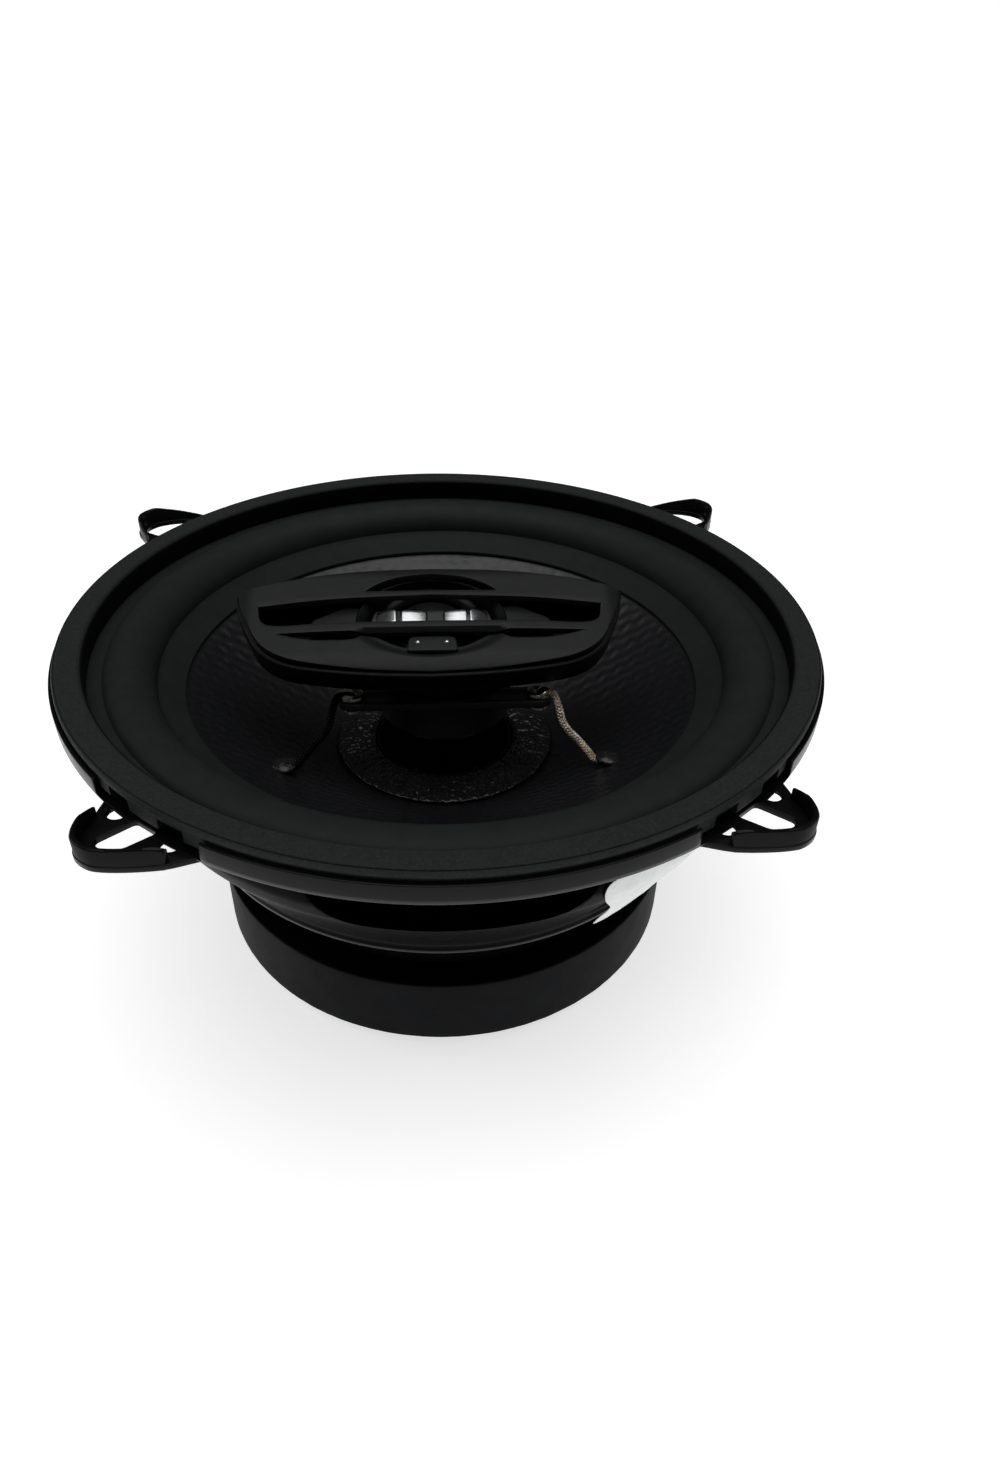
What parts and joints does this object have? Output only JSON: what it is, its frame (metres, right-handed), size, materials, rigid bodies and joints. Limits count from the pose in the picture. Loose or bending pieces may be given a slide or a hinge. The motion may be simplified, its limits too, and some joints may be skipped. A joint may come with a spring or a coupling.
{
  "type": "coaxial car speaker",
  "caption": "Round two-way car loudspeaker: stamped basket with screw ears, half-roll surround, woven cone, ring magnet and a boat-shaped tweeter pod on a centre post.",
  "frame": {"origin": "centre of the bounding box's bottom face, under the middle of the back plate", "axes": "+Z along the speaker's axis, out of the cone towards the listener; the tweeter pod lies along X; -Y faces the picture's viewer"},
  "size_m": [0.134, 0.134, 0.0726],
  "materials": {
    "basket": "gloss",
    "gasket": "matt, fine grain",
    "surround_rubber": "satin",
    "cone": "embossed weave, satin",
    "glue": "rough cured adhesive",
    "former": "dark",
    "copper": "enamelled wire",
    "spider_cloth": "resin-treated cloth",
    "dark_plastic": "satin",
    "motor_steel": "zinc plated",
    "ferrite": "matt sintered",
    "screw_steel": "zinc plated",
    "rivet": "satin",
    "face_plastic": "satin silver-grey",
    "silver_trim": "bright",
    "dome": "thin film, satin",
    "lead_coated": "lead coated in black adhesive",
    "tinned": "tinned",
    "braid": "braided",
    "paper": "matt",
    "board": "laminate"
  },
  "bodies": {
    "frame": {"basket_frame": "basket", "basket_rivet_1": "rivet", "basket_rivet_2": "rivet", "basket_rivet_3": "rivet", "basket_rivet_4": "rivet", "front_gasket": "gasket", "surround": "surround_rubber", "spider": "spider_cloth", "spider_ring": "dark_plastic", "top_plate": "motor_steel", "ferrite_magnet": "ferrite", "t_yoke": "motor_steel", "tweeter_post": "dark_plastic", "post_screw": "screw_steel", "tweeter_drum": "dark_plastic", "pod_housing": "dark_plastic", "pod_face": "face_plastic", "tweeter_magnet": "motor_steel", "tweeter_ring": "dark_plastic", "tweeter_bridge": "silver_trim", "horn_wing_left": "face_plastic", "horn_wing_right": "face_plastic", "pod_terminal_left": "tinned", "pod_terminal_right": "tinned", "front_lead_left": "lead_coated", "front_lead_right": "braid", "basket_label": "paper", "terminal_board": "board", "terminal_board_rivet": "rivet", "spade_positive": "tinned", "spade_negative": "tinned", "spade_rivet_positive": "tinned", "spade_rivet_negative": "tinned", "rear_lead_positive": "braid", "rear_lead_negative": "braid"},
    "cone_assembly": {"woofer_cone": "cone", "neck_glue_ring": "glue", "voice_coil_former": "former", "voice_coil": "copper", "cone_eyelet_left": "glue", "cone_eyelet_right": "glue"},
    "tweeter_diaphragm": {"tweeter_dome": "dome"}
  },
  "joints": [
    {"name": "cone_travel", "type": "slide", "parent": "frame", "child": "cone_assembly", "axis": [0, 0, 1], "range_m": [-0.003, 0.003], "stiffness_N_per_m": 1100, "deforming": ["surround", "spider", "front_lead_left", "front_lead_right", "rear_lead_positive", "rear_lead_negative"]},
    {"name": "tweeter_travel", "type": "slide", "parent": "frame", "child": "tweeter_diaphragm", "axis": [0, -0.2873, 0.9578], "range_m": [-0.0003, 0.0003], "stiffness_N_per_m": 2000}
  ]
}
